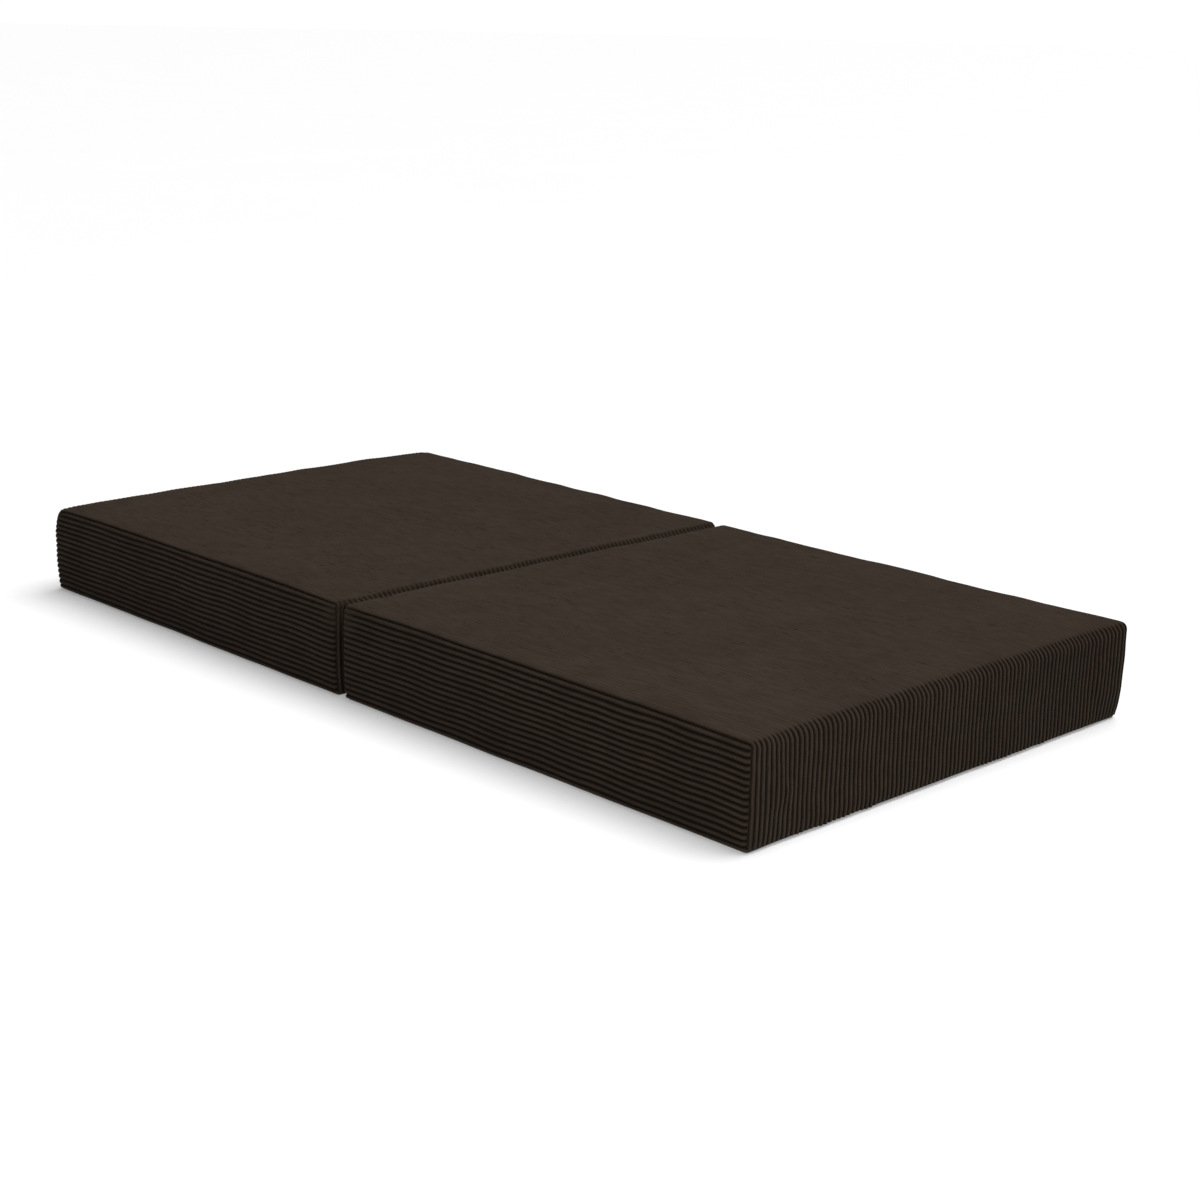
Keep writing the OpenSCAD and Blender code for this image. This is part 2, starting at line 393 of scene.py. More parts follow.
@dataclass
class Sheet:
    """A grid of cloth that is bent into place and given a thickness.

    Attributes:
        name: Name of the piece.
        columns: Places of the grid's lines across the wales.
        rows: Places of the grid's lines along the wales.
        thickness: Thickness of the cloth.
    """

    name: str
    columns: int
    rows: int
    thickness: float = 1.3 * MM

    def grid_indices(self, mesh: bmesh.types.BMesh) -> tuple[np.ndarray, np.ndarray]:
        """Returns the column and the row of every vertex of a unit grid."""
        flat = np.array([v.co[:2] for v in mesh.verts])
        column = np.rint((flat[:, 0] + 1.0) / 2.0 * (self.columns - 1)).astype(int)
        row = np.rint((flat[:, 1] + 1.0) / 2.0 * (self.rows - 1)).astype(int)
        return column, row

    def build(self, place: Callable[[np.ndarray, np.ndarray], np.ndarray], across: np.ndarray,
              along: np.ndarray, hole: Callable[[Vector], bool] | None = None,
              outward: Callable[[Vector], Vector] | None = None) -> bpy.types.Object:
        """Makes the sheet.

        Args:
            place: Gives each vertex's position from its column and row, and after it, where the cloth
                has pile, how open the grooves are.
            across: The UV map's first coordinate for each column.
            along: The UV map's second coordinate for each row.
            hole: Says whether a face with this centre is cut away.
            outward: Gives a direction that faces at this centre should look towards.

        Returns:
            The finished object, at the origin.
        """
        mesh = bmesh.new()
        bmesh.ops.create_grid(mesh, x_segments=self.columns - 1, y_segments=self.rows - 1, size=1.0)
        column, row = self.grid_indices(mesh)
        layer = mesh.loops.layers.uv.new("cloth")
        mesh.verts.index_update()
        for face in mesh.faces:
            for loop in face.loops:
                at = loop.vert.index
                loop[layer].uv = (across[column[at]], along[row[at]])
        found = place(column, row)
        opening = mesh.verts.layers.float.new("opening")
        for vert, values in zip(mesh.verts, found):
            vert.co = values[:3]
            vert[opening] = values[3] if len(values) > 3 else 1.0
        if hole is not None:
            gone = [face for face in mesh.faces if hole(face.calc_center_median())]
            bmesh.ops.delete(mesh, geom=gone, context="FACES")
        mesh.normal_update()
        if outward is not None:
            facing = sum(face.normal.dot(outward(face.calc_center_median())) for face in mesh.faces)
            if facing < 0.0:
                bmesh.ops.reverse_faces(mesh, faces=mesh.faces[:])
        return finish_mesh(self.name, mesh, self.thickness)


def finish_mesh(name: str, mesh: bmesh.types.BMesh, thickness: float = 0.0) -> bpy.types.Object:
    """Turns a bmesh into a smooth object at the origin.

    Args:
        name: Name of the piece.
        mesh: The shape, which is freed.
        thickness: Thickness that the shape is given inwards, or 0 for a closed shape.

    Returns:
        The new object.
    """
    for face in mesh.faces:
        face.smooth = True
    data = bpy.data.meshes.new(name)
    mesh.to_mesh(data)
    mesh.free()
    piece = bpy.data.objects.new(name, data)
    bpy.context.scene.collection.objects.link(piece)
    if thickness > 0.0:
        wall = piece.modifiers.new("thickness", "SOLIDIFY")
        wall.thickness = thickness
        wall.offset = -1.0
    return piece


def box_matrix(centre: Vector, size: Vector) -> Matrix:
    """Returns the matrix that turns a unit cube into a box."""
    return Matrix.Translation(centre) @ Matrix.Diagonal((*size, 1.0))


def seam_pinch(edge: np.ndarray) -> np.ndarray:
    """Returns how far cloth is drawn in at each distance from a seam: a sharp nip in a shallow hollow."""
    return 1.7 * MM * np.exp(-(edge / (2.4 * MM)) ** 2) + 0.9 * MM * np.exp(-(edge / (9.0 * MM)) ** 2)


def end_fade(edge: np.ndarray) -> np.ndarray:
    """Returns the share of a wale's height that is left at each distance from a seam across it."""
    return 1.0 - 0.75 * np.exp(-(edge / (4.5 * MM)) ** 2)


def nearest_end(places: np.ndarray, length: float) -> np.ndarray:
    """Returns each place's distance from the nearer end of a line of this length."""
    return np.minimum(places, length - places)


@dataclass
class CorduroyPanel:
    """What every corduroy panel of a block's cover shares.

    Attributes:
        form: The block that the panel covers.
        wales: The ribs of its cloth.
        swell: How far the filled cover moves each point, or None.
    """

    form: BlockForm
    wales: Wales
    swell: Callable[[np.ndarray], np.ndarray] | None = None

    def lay(self, sharp: np.ndarray, height: np.ndarray, edge: np.ndarray, end_edge: np.ndarray,
            quiet: np.ndarray | float = 0.0) -> np.ndarray:
        """Lays points of the cloth on the block.

        Args:
            sharp: Points on the block's sharp box.
            height: Height of the wale at each point, from 0 to 1.
            edge: Distance from the nearest seam along the wales.
            end_edge: Distance from the nearest seam across the wales.
            quiet: From 0 to 1, how far the unevenness is held back.

        Returns:
            The points in the object's frame, and after each how open the grooves are there.
        """
        points, normals = self.form.soften(sharp)
        uneven = self.form.unevenness(points, normals) * (1.0 - quiet)
        opening = self.form.opening(points, normals)
        relief = self.wales.depth * (height * end_fade(end_edge) - 1.0) * opening
        lift = relief + uneven - seam_pinch(np.minimum(edge, end_edge))
        settled = self.form.settle(points + normals * lift[:, None], quiet)
        if self.swell is not None:
            settled = settled + self.swell(points) * (1.0 - np.asarray(quiet))[..., None]
        settled[:, 2] = np.clip(settled[:, 2], 0.3 * MM, self.form.height - 0.2 * MM)
        return np.column_stack([self.form.to_world(settled), opening])


@dataclass
class WrapPanel(CorduroyPanel):
    """The panel that runs up the hinge face, over the top and down the outer end in one piece.

    Attributes:
        top_steps: Rows along the flat of the top.
        face_steps: Rows up each upright face.
        turn_steps: Rows round half of a turn at the top.
        seam_steps: Rows round half of each turn of the hinge face.
        stray_fade: Distance from a seam over which the wales may begin to stray.
    """

    top_steps: int = 44
    face_steps: int = 12
    turn_steps: int = 7
    seam_steps: int = 4
    stray_fade: float = 25.0 * MM

    def path(self) -> tuple[np.ndarray, np.ndarray, np.ndarray]:
        """Returns x, z and the distance along the cloth for each row, from seam to seam."""
        form = self.form
        rise = stations(form.height, form.base_r, form.hinge_top_r, self.seam_steps, self.face_steps)
        run = stations(form.length, form.hinge_top_r, form.end_r, self.turn_steps, self.top_steps)
        drop = form.height - stations(form.height, form.end_r, form.base_r, self.turn_steps, self.face_steps)
        x = np.concatenate([np.zeros(len(rise)), run[1:], np.full(len(drop) - 1, form.length)])
        z = np.concatenate([rise, np.full(len(run) - 1, form.height), drop[1:]])
        step = np.hypot(np.diff(x), np.diff(z))
        return x, z, np.concatenate([[0.0], np.cumsum(step)])

    def build(self, name: str) -> bpy.types.Object:
        """Makes the panel.

        Args:
            name: Name of the piece.

        Returns:
            The finished panel.
        """
        form = self.form
        wide = 2.0 * form.half_w
        width = cloth_width(wide, form.shoulder_r, form.shoulder_r)
        distance, height, counted = self.wales.layout(width)
        y = across_arc(distance, wide, form.shoulder_r, form.shoulder_r) - form.half_w
        x, z, along = self.path()
        edge = nearest_end(distance, width)
        end_edge = nearest_end(along, along[-1])
        wander = Ripple(form.seed + 2, 170.0 * MM, self.wales.wander)

        def place(column: np.ndarray, row: np.ndarray) -> np.ndarray:
            """Returns each vertex's place and how open the grooves are there."""
            on_cloth = np.stack([along[row], distance[column]], axis=1)
            stray = wander.at(on_cloth) * smooth(edge[column] / self.stray_fade)
            sharp = np.stack([x[row], y[column] + stray, z[row]], axis=1)
            return self.lay(sharp, height[column], edge[column], end_edge[row])

        sheet = Sheet(name, len(distance), len(along))
        return sheet.build(place, counted, along, outward=self.outward)

    def outward(self, centre: Vector) -> Vector:
        """Returns the way out of the block at a point of the panel."""
        middle = self.form.side * (self.form.hinge_x + self.form.length / 2.0)
        return centre - Vector((middle, centre.y, self.form.height / 2.0))


@dataclass
class ZipSlot:
    """The slot in a far side panel that shows its zip.

    Attributes:
        start_x: Distance from the hinge face to the slot's near end.
        end_x: Distance from the hinge face to its far end.
        middle_z: Height of the zip's centre line.
        half_h: Half the slot's height.
        calm: Distance over which the cloth is held flat beside the zip.
    """

    start_x: float
    end_x: float
    middle_z: float
    half_h: float
    calm: float = 26.0 * MM

    def warp(self, z: np.ndarray, grooves: np.ndarray) -> np.ndarray:
        """Shifts the wales beside the slot so that one wale fills it exactly.

        Args:
            z: Height of every grid line.
            grooves: Heights of the grooves.

        Returns:
            The shifted heights.
        """
        order = np.sort(grooves)
        upper = np.searchsorted(order, self.middle_z)
        low, high = order[upper - 1], order[upper]
        centre, span = (low + high) / 2.0, high - low
        share = smooth(1.6 - np.abs(z - centre) / self.calm)
        return z + share * ((self.middle_z - centre) + (z - centre) * (2.0 * self.half_h / span - 1.0))

    def nearness(self, x: np.ndarray, z: np.ndarray) -> np.ndarray:
        """Returns 1 beside the zip, falling to 0 away from it."""
        up = smooth(1.7 - np.abs(z - self.middle_z) / self.calm)
        gap = np.maximum(self.start_x - x, x - self.end_x)
        return up * smooth(1.0 - gap / self.calm)

    def holds(self, x: float, z: float) -> bool:
        """Returns whether a point of the side panel lies in the slot."""
        return self.start_x < x < self.end_x and abs(z - self.middle_z) < self.half_h


@dataclass
class SidePanel(CorduroyPanel):
    """A long side of a block, with its wales running lengthwise.

    Attributes:
        way: 1 for the far side and -1 for the near side.
        slot: The zip's slot, or None.
        flat_steps: Rows along the flat of the side.
        turn_steps: Rows round half of each turn.
        stray_fade: Distance from a seam over which the wales may begin to stray.
    """

    way: int = -1
    slot: ZipSlot | None = None
    flat_steps: int = 70
    turn_steps: int = 7
    stray_fade: float = 20.0 * MM

    def columns_z(self) -> tuple[np.ndarray, np.ndarray, np.ndarray, np.ndarray, float]:
        """Lays out the grid lines that run lengthwise.

        Returns:
            Each line's height on the sharp side, its distance over the cloth, the height of its wale
            and its place counted in wales, and then the width of the cloth.
        """
        form = self.form
        width = cloth_width(form.height, form.shoulder_r, form.base_r)
        distance, height, counted = self.wales.layout(width)
        z = form.height - across_arc(distance, form.height, form.shoulder_r, form.base_r)
        if self.slot is not None:
            z = self.slot.warp(z, z[height == 0.0])
        return z, distance, height, counted, width

    def rows_x(self) -> np.ndarray:
        """Returns each row's distance from the hinge face, with rows on the slot's ends."""
        form = self.form
        x = stations(form.length, form.hinge_r, form.corner_r, self.turn_steps, self.flat_steps)
        if self.slot is not None:
            for end in (self.slot.start_x, self.slot.end_x):
                x[np.argmin(np.abs(x - end))] = end
        return x

    def build(self, name: str) -> bpy.types.Object:
        """Makes the panel.

        Args:
            name: Name of the piece.

        Returns:
            The finished panel.
        """
        form = self.form
        z, distance, height, counted, width = self.columns_z()
        x = self.rows_x()
        edge = nearest_end(distance, width)
        end_edge = nearest_end(x, form.length)
        wander = Ripple(form.seed + 3 + self.way, 150.0 * MM, self.wales.wander)

        def place(column: np.ndarray, row: np.ndarray) -> np.ndarray:
            """Returns each vertex's place and how open the grooves are there."""
            quiet = np.zeros(len(row))
            if self.slot is not None:
                quiet = self.slot.nearness(x[row], z[column])
            on_cloth = np.stack([x[row], distance[column]], axis=1)
            stray = wander.at(on_cloth) * smooth(edge[column] / self.stray_fade)
            y = np.full(len(row), self.way * form.half_w)
            sharp = np.stack([x[row], y, z[column] + stray * (1.0 - quiet)], axis=1)
            return self.lay(sharp, height[column], edge[column], end_edge[row], quiet)

        def hole(centre: Vector) -> bool:
            """Returns whether the face with this centre lies in the zip's slot."""
            return self.slot is not None and self.slot.holds(abs(centre.x) - form.hinge_x, centre.z)

        sheet = Sheet(name, len(distance), len(x))
        return sheet.build(place, counted, x, hole, lambda centre: Vector((0.0, float(self.way), 0.0)))


@dataclass
class BasePanel:
    """The flat woven panel that lies on the floor.

    Attributes:
        form: The block that the panel closes.
        wales: The corduroy that it is sewn to.
        flat_steps: Rows along the flat of the base, each way.
        turn_steps: Rows round half of each turn.
        lift: Lowest height of the cloth.
        nip: How far the seam stands in from the wales' grooves.
        nip_width: How far from the seam it is felt.
    """

    form: BlockForm
    wales: Wales
    flat_steps: int = 30
    turn_steps: int = 6
    lift: float = 0.6 * MM
    nip: float = 2.0 * MM
    nip_width: float = 3.0 * MM

    def build(self, name: str) -> bpy.types.Object:
        """Makes the panel.

        Args:
            name: Name of the piece.

        Returns:
            The finished panel.
        """
        form = self.form
        wide = 2.0 * form.half_w
        x = stations(form.length, form.hinge_r, form.corner_r, self.turn_steps, self.flat_steps)
        y = stations(wide, form.foot_r, form.foot_r, self.turn_steps, self.flat_steps)

        def place(column: np.ndarray, row: np.ndarray) -> np.ndarray:
            """Returns each vertex's place."""
            sharp = np.stack([x[row], y[column] - form.half_w, np.zeros(len(row))], axis=1)
            points, normals = form.soften(sharp)
            edge = np.minimum(nearest_end(x[row], form.length), nearest_end(y[column], wide))
            nip = (self.wales.depth + self.nip) * np.exp(-(edge / self.nip_width) ** 2)
            settled = form.settle(points - normals * nip[:, None])
            settled[:, 2] = np.maximum(settled[:, 2], self.lift)
            return form.to_world(settled)

        sheet = Sheet(name, len(y), len(x))
        return sheet.build(place, y, x, outward=lambda centre: Vector((0.0, 0.0, -1.0)))


@dataclass
class HingeStrip:
    """The corduroy strip in the valley between the blocks, which bends as the mattress folds.

    Attributes:
        form: The foot block's form, whose wales the strip carries on.
        wales: The ribs of the cloth.
        half_width: Half the strip's length across the mattress.
        tuck_in: How far the strip runs in under each block's cloth.
        edge_depth: Depth of the strip below the top, beside the blocks.
        middle_depth: Its depth in the middle of the valley.
        steps: Rows from one block to the other.
        ridge_share: Share of a wale's height that the strip keeps.
    """

    form: BlockForm
    wales: Wales
    half_width: float
    tuck_in: float = 3.0 * MM
    edge_depth: float = 9.5 * MM
    middle_depth: float = 12.0 * MM
    steps: int = 14
    ridge_share: float = 0.8

    def build(self, name: str) -> bpy.types.Object:
        """Makes the strip.

        Args:
            name: Name of the piece.

        Returns:
            The finished strip.
        """
        form = self.form
        wide = 2.0 * form.half_w
        width = cloth_width(wide, form.shoulder_r, form.shoulder_r)
        distance, height, counted = self.wales.layout(width)
        y = across_arc(distance, wide, form.shoulder_r, form.shoulder_r) - form.half_w
        inside = np.abs(y) <= self.half_width
        y, height, counted = y[inside], height[inside], counted[inside]
        reach = form.hinge_x + self.tuck_in
        x = np.linspace(-reach, reach, self.steps + 1)
        depth = mix(self.edge_depth, self.middle_depth, 1.0 - (x / reach) ** 2)
        uneven = Ripple(form.seed + 9, 90.0 * MM, 0.7 * MM)

        def place(column: np.ndarray, row: np.ndarray) -> np.ndarray:
            """Returns each vertex's place."""
            sag = uneven.at(np.stack([x[row], y[column]], axis=1))
            ridge = self.wales.depth * self.ridge_share * (height[column] - 1.0)
            return np.stack([x[row], y[column], form.height - depth[row] + ridge + sag], axis=1)

        sheet = Sheet(name, len(y), len(x))
        return sheet.build(place, counted, x, outward=lambda centre: Vector((0.0, 0.0, 1.0)))


# ---------------------------------------------------------------- what is inside a block


@dataclass
class InnerPad:
    """A slab of foam inside a block's cover.

    Attributes:
        low: Lowest corner.
        high: Highest corner.
        edge_r: Radius of its edges.
        crown: How much higher its top is in the middle.
        cuts: How many times each long edge is cut, so that it can bend.
    """

    low: Vector
    high: Vector
    edge_r: float = 15.0 * MM
    crown: float = 2.0 * MM
    cuts: int = 7

    def build(self, name: str, follow: Callable[[np.ndarray], np.ndarray],
              thickness: float = 0.0) -> bpy.types.Object:
        """Makes the slab.

        Args:
            name: Name of the piece.
            follow: Moves points as the cover round them moves.
            thickness: Thickness of its wall, or 0 for a solid slab.

        Returns:
            The finished slab.
        """
        size = self.high - self.low
        centre = (self.high + self.low) / 2.0
        mesh = bmesh.new()
        bmesh.ops.create_cube(mesh, size=1.0, matrix=box_matrix(centre, size))
        bmesh.ops.bevel(mesh, geom=mesh.edges[:], offset=self.edge_r, affect="EDGES", segments=4, profile=0.5,
                        material=-1)
        long_edges = [edge for edge in mesh.edges if edge.calc_length() > 4.0 * self.edge_r]
        bmesh.ops.subdivide_edges(mesh, edges=long_edges, cuts=self.cuts, use_grid_fill=True)
        for vert in mesh.verts:
            away = vert.co - centre
            share = (1.0 - (2.0 * away.x / size.x) ** 2) * (1.0 - (2.0 * away.y / size.y) ** 2)
            if away.z > 0.0:
                vert.co.z += self.crown * share
        for vert, place in zip(mesh.verts, follow(np.array([vert.co for vert in mesh.verts]))):
            vert.co = place
        mesh.normal_update()
        return finish_mesh(name, mesh, thickness)


# ---------------------------------------------------------------- shader graphs


class Signal:
    """A socket of a shader graph that is used like a number in arithmetic."""

    def __init__(self, graph: "Graph", socket: bpy.types.NodeSocket) -> None:
        """Wraps a socket.

        Args:
            graph: The graph that the socket belongs to.
            socket: The output socket.
        """
        self.graph = graph
        self.socket = socket

    def __add__(self, other: "Signal | float") -> "Signal":
        """Returns the sum."""
        return self.graph.maths("ADD", self, other)

    def __radd__(self, other: float) -> "Signal":
        """Returns the sum."""
        return self.graph.maths("ADD", other, self)

    def __sub__(self, other: "Signal | float") -> "Signal":
        """Returns the difference."""
        return self.graph.maths("SUBTRACT", self, other)

    def __rsub__(self, other: float) -> "Signal":
        """Returns the difference."""
        return self.graph.maths("SUBTRACT", other, self)

    def __mul__(self, other: "Signal | float") -> "Signal":
        """Returns the product."""
        return self.graph.maths("MULTIPLY", self, other)

    def __rmul__(self, other: float) -> "Signal":
        """Returns the product."""
        return self.graph.maths("MULTIPLY", other, self)

    def __truediv__(self, other: "Signal | float") -> "Signal":
        """Returns the quotient."""
        return self.graph.maths("DIVIDE", self, other)

    def __abs__(self) -> "Signal":
        """Returns the size without its sign."""
        return self.graph.maths("ABSOLUTE", self)

    def fraction(self) -> "Signal":
        """Returns what is left after the whole part."""
        return self.graph.maths("FRACT", self)

    def power(self, exponent: float) -> "Signal":
        """Returns the value raised to an exponent."""
        return self.graph.maths("POWER", self, exponent)

    def between(self, low: float, high: float) -> "Signal":
        """Returns 0 at or below low and 1 at or above high, eased between them."""
        return self.graph.node("ShaderNodeMapRange", {"interpolation_type": "SMOOTHSTEP"},
                               {"Value": self, "From Min": low, "From Max": high})


class Graph:
    """The node graph of one material."""

    def __init__(self, name: str) -> None:
        """Makes a material with an empty graph.

        Args:
            name: Name of the material.
        """
        self.material = bpy.data.materials.new(name)
        self.material.use_nodes = True
        self.tree = self.material.node_tree
        self.tree.nodes.clear()

    def node(self, kind: str, settings: dict[str, object] | None = None,
             sockets: dict[str | int, object] | None = None, output: str | int = 0) -> Signal | None:
        """Adds any node.

        Args:
            kind: The node's type.
            settings: Its properties.
            sockets: Values or links of its input sockets.
            output: The output socket that is returned.

        Returns:
            The output socket, or None for a node that has none.
        """
        made = self.tree.nodes.new(kind)
        for key, value in (settings or {}).items():
            setattr(made, key, value)
        for key, value in (sockets or {}).items():
            if isinstance(value, Signal):
                self.tree.links.new(value.socket, made.inputs[key])
            else:
                made.inputs[key].default_value = value
        return Signal(self, made.outputs[output]) if made.outputs else None

    def maths(self, operation: str, *values: Signal | float) -> Signal:
        """Adds a Math node."""
        return self.node("ShaderNodeMath", {"operation": operation}, dict(enumerate(values)))

    def blend(self, share: Signal | float, low: Signal | Colour, high: Signal | Colour) -> Signal:
        """Mixes two colours.

        Args:
            share: How much of the second colour is used.
            low: The first colour.
            high: The second colour.

        Returns:
            The mixed colour.
        """
        low, high = (value if isinstance(value, Signal) else (*value, 1.0) for value in (low, high))
        return self.node("ShaderNodeMix", {"data_type": "RGBA"}, {0: share, 6: low, 7: high}, 2)

    def place(self) -> Signal:
        """Returns the Object coordinates."""
        return self.node("ShaderNodeTexCoord", output="Object")

    def cloth_map(self) -> tuple[Signal, Signal]:
        """Returns the two coordinates of the cloth's own UV map."""
        flat = self.node("ShaderNodeUVMap", {"uv_map": "cloth"})
        return self.part(flat, "X"), self.part(flat, "Y")

    def part(self, vector: Signal, axis: str) -> Signal:
        """Returns one coordinate of a vector."""
        return self.node("ShaderNodeSeparateXYZ", sockets={0: vector}, output=axis)

    def vector(self, x: Signal | float, y: Signal | float, z: Signal | float = 0.0) -> Signal:
        """Returns a vector made of three coordinates."""
        return self.node("ShaderNodeCombineXYZ", sockets={0: x, 1: y, 2: z})

    def noise(self, at: Signal, scale: float, detail: float = 2.0, roughness: float = 0.5) -> Signal:
        """Returns smooth noise, from 0 to 1 around a half."""
        return self.node("ShaderNodeTexNoise", sockets={"Vector": at, "Scale": scale, "Detail": detail,
                                                        "Roughness": roughness})

    def bump(self, height: Signal, distance: float, strength: float = 1.0) -> Signal:
        """Returns the normal that a height gives."""
        return self.node("ShaderNodeBump", sockets={
            "Height": height, "Distance": distance, "Strength": strength})

    def mapped(self, at: Signal, **shift: tuple[float, float, float]) -> Signal:
        """Returns a vector moved by its Location or stretched by its Scale."""
        return self.node("ShaderNodeMapping", sockets={"Vector": at, **shift})

    def close(self, sockets: dict[str, object]) -> bpy.types.Material:
        """Adds the surface shader, and returns the material.

        Args:
            sockets: Values or links of the Principled BSDF's sockets.

        Returns:
            The finished material.
        """
        surface = self.node("ShaderNodeBsdfPrincipled", sockets=sockets)
        self.node("ShaderNodeOutputMaterial", sockets={"Surface": surface})
        return self.material


# ---------------------------------------------------------------- finishes


@dataclass(frozen=True)
class Corduroy:
    """Dark brown wide-wale corduroy: cut pile on the wales, and painted shade over the ground weave in the
    grooves and on the flanks.

    Attributes:
        pile: Colour of the pile on the crest of a wale.
        rubbed: Colour where the pile is brushed lighter.
        ground: Colour down in the grooves and on the wales' flanks, partly the ground weave and partly
            painted shade.
    """

    pile: Colour = (0.0218, 0.0147, 0.0097)
    rubbed: Colour = (0.0365, 0.0262, 0.0183)
    # ground is partly the ground weave's own colour and partly painted shade that darkens the grooves and the
    # wales' flanks.
    ground: Colour = (0.0052, 0.0032, 0.0019)

    def build(self) -> bpy.types.Material:
        """Returns the material."""
        graph = Graph("corduroy")
        count, along = graph.cloth_map()
        crest = 1.0 - abs(count.fraction() * 2.0 - 1.0)
        at = graph.place()
        patches = graph.noise(at, 9.0, 3.0).between(0.32, 0.68)
        clouds = graph.noise(graph.mapped(at, Location=(3.1, 7.7, 1.3)), 2.4, 2.0).between(0.3, 0.7)
        line = graph.maths("FLOOR", count + 0.5)
        tufts = graph.noise(graph.vector(count * 3.0, along * 420.0), 1.0, 2.0, 0.6)
        wale = graph.noise(graph.vector(graph.maths("FLOOR", count) * 7.31, along * 9.0), 1.0, 2.0)
        naps = graph.noise(graph.mapped(at, Scale=(24.0, 70.0, 40.0)), 1.0, 3.0, 0.6).between(0.38, 0.62)
        rub = patches * 0.24 + clouds * 0.08 + naps * 0.32 + tufts.between(0.35, 0.7) * 0.2
        rub = rub + wale.between(0.3, 0.7) * 0.16
        pile = graph.blend(rub, self.pile, self.rubbed)
        opening = graph.node("ShaderNodeAttribute", {"attribute_name": "opening"}, output="Fac")
        ragged = crest + (graph.noise(graph.vector(line * 5.1, along * 34.0), 1.0, 2.0) - 0.5) * 0.3
        # Painted shade: each wale darkens from its crest down its flanks towards the ground colour, leaving a
        # lit strip on the crest. The opening attribute scales it, so the sides and ends get far more of this
        # painted shade than the top.
        flank_shade = (1.0 - ragged.between(0.12, 0.98)) * opening.power(1.3)
        # Painted shade, partly the ground weave showing: dark streaks in the grooves of the closed top, where
        # the pile parts.
        parted = graph.noise(graph.vector(line * 3.7, along * 30.0), 1.0, 3.0, 0.6).between(0.5, 0.68)
        zone = graph.noise(at, 15.0, 2.0).between(0.4, 0.62)
        gap = (1.0 - crest.between(0.05, 0.55)) * (1.0 - opening) * parted * (0.3 + zone * 0.7)
        # Mixes the pile towards the ground colour by the painted shade of the flanks and the grooves.
        colour = graph.blend(graph.maths("MAXIMUM", flank_shade, gap), pile, self.ground)
        fibre = graph.noise(graph.vector(count * 26.0, along * 2600.0), 1.0, 2.0, 0.7)
        height = tufts * 0.5 + fibre * 0.5
        return graph.close({
            "Base Color": colour, "Roughness": 0.86 + fibre * 0.12,
            "Normal": graph.bump(height, 0.5 * MM, 0.7), "Specular IOR Level": 0.05,
            "Sheen Weight": 0.05, "Sheen Roughness": 0.45, "Sheen Tint": (0.8, 0.66, 0.54, 1.0)})


@dataclass(frozen=True)
class Weave:
    """A plain woven cloth.

    Attributes:
        name: Name of the material.
        light: Colour of the raised threads.
        dark: Colour between them.
        pitch: Distance between threads.
    """

    name: str
    light: Colour
    dark: Colour
    pitch: float = 0.9 * MM

    def build(self) -> bpy.types.Material:
        """Returns the material."""
        graph = Graph(self.name)
        at = graph.place()
        waves = [graph.maths("SINE", graph.part(at, axis) * (math.pi / self.pitch)) for axis in "XYZ"]
        over = (waves[0] * waves[1] + waves[1] * waves[2] + waves[0] * waves[2]).between(-0.8, 0.8)
        slub = graph.noise(at, 60.0, 3.0).between(0.3, 0.7)
        colour = graph.blend(over * 0.6 + slub * 0.4, self.dark, self.light)
        return graph.close({
            "Base Color": colour, "Roughness": 0.8 + slub * 0.15, "Normal": graph.bump(over, 0.25 * MM, 0.8),
            "Specular IOR Level": 0.2, "Sheen Weight": 0.1})


@dataclass(frozen=True)
class Foam:
    """Open-celled foam.

    Attributes:
        name: Name of the material.
        skin: Colour of the cell walls.
        cell: Colour inside the cells.
    """

    name: str
    skin: Colour
    cell: Colour

    def build(self) -> bpy.types.Material:
        """Returns the material."""
        graph = Graph(self.name)
        at = graph.place()
        cells = graph.node("ShaderNodeTexVoronoi", sockets={"Vector": at, "Scale": 520.0}).between(0.15, 0.75)
        tone = graph.noise(at, 14.0, 2.0).between(0.3, 0.7)
        colour = graph.blend(cells * 0.7 + tone * 0.3, self.cell, self.skin)
        return graph.close({
            "Base Color": colour, "Roughness": 0.85 + tone * 0.1, "Normal": graph.bump(cells, 0.5 * MM, 0.6),
            "Specular IOR Level": 0.15})


@dataclass(frozen=True)
class AgedBrass:
    """Brass zip hardware with a brown patina that wears through in patches.

    Attributes:
        bright: Colour of the bare brass.
        brown: Colour of the patina.
    """

    bright: Colour = (0.42, 0.29, 0.13)
    brown: Colour = (0.10, 0.062, 0.032)

    def build(self) -> bpy.types.Material:
        """Returns the material."""
        graph = Graph("zip_metal")
        at = graph.place()
        patina = graph.noise(at, 180.0, 4.0, 0.6).between(0.35, 0.65)
        scratch = graph.noise(graph.mapped(at, Scale=(1.0, 1.0, 14.0)), 900.0, 2.0)
        return graph.close({
            "Base Color": graph.blend(patina, self.bright, self.brown), "Metallic": 0.9 + patina * 0.1,
            "Roughness": 0.28 + patina * 0.3, "Normal": graph.bump(scratch, 0.04 * MM, 0.5)})


@dataclass(frozen=True)
class CoilPlastic:
    """Dark brown nylon of the zip's coil.

    Attributes:
        light: Its lighter tone.
        dark: Its darker tone.
    """

    light: Colour = (0.045, 0.034, 0.027)
    dark: Colour = (0.024, 0.018, 0.014)

    def build(self) -> bpy.types.Material:
        """Returns the material."""
        graph = Graph("zip_coil")
        tone = graph.noise(graph.place(), 240.0, 2.0).between(0.3, 0.7)
        return graph.close({
            "Base Color": graph.blend(tone, self.dark, self.light), "Roughness": 0.34 + tone * 0.14,
            "Normal": graph.bump(tone, 0.05 * MM, 0.3)})


class Slot(Enum):
    """The record's material slots."""

    CORDUROY = "corduroy"
    BASE_CLOTH = "base_cloth"
    LINER_CLOTH = "liner_cloth"
    SUPPORT_FOAM = "support_foam"
    COMFORT_FOAM = "comfort_foam"
    ZIP_TAPE = "zip_tape"
    ZIP_COIL = "zip_coil"
    ZIP_METAL = "zip_metal"
    LABEL_CLOTH = "label_cloth"


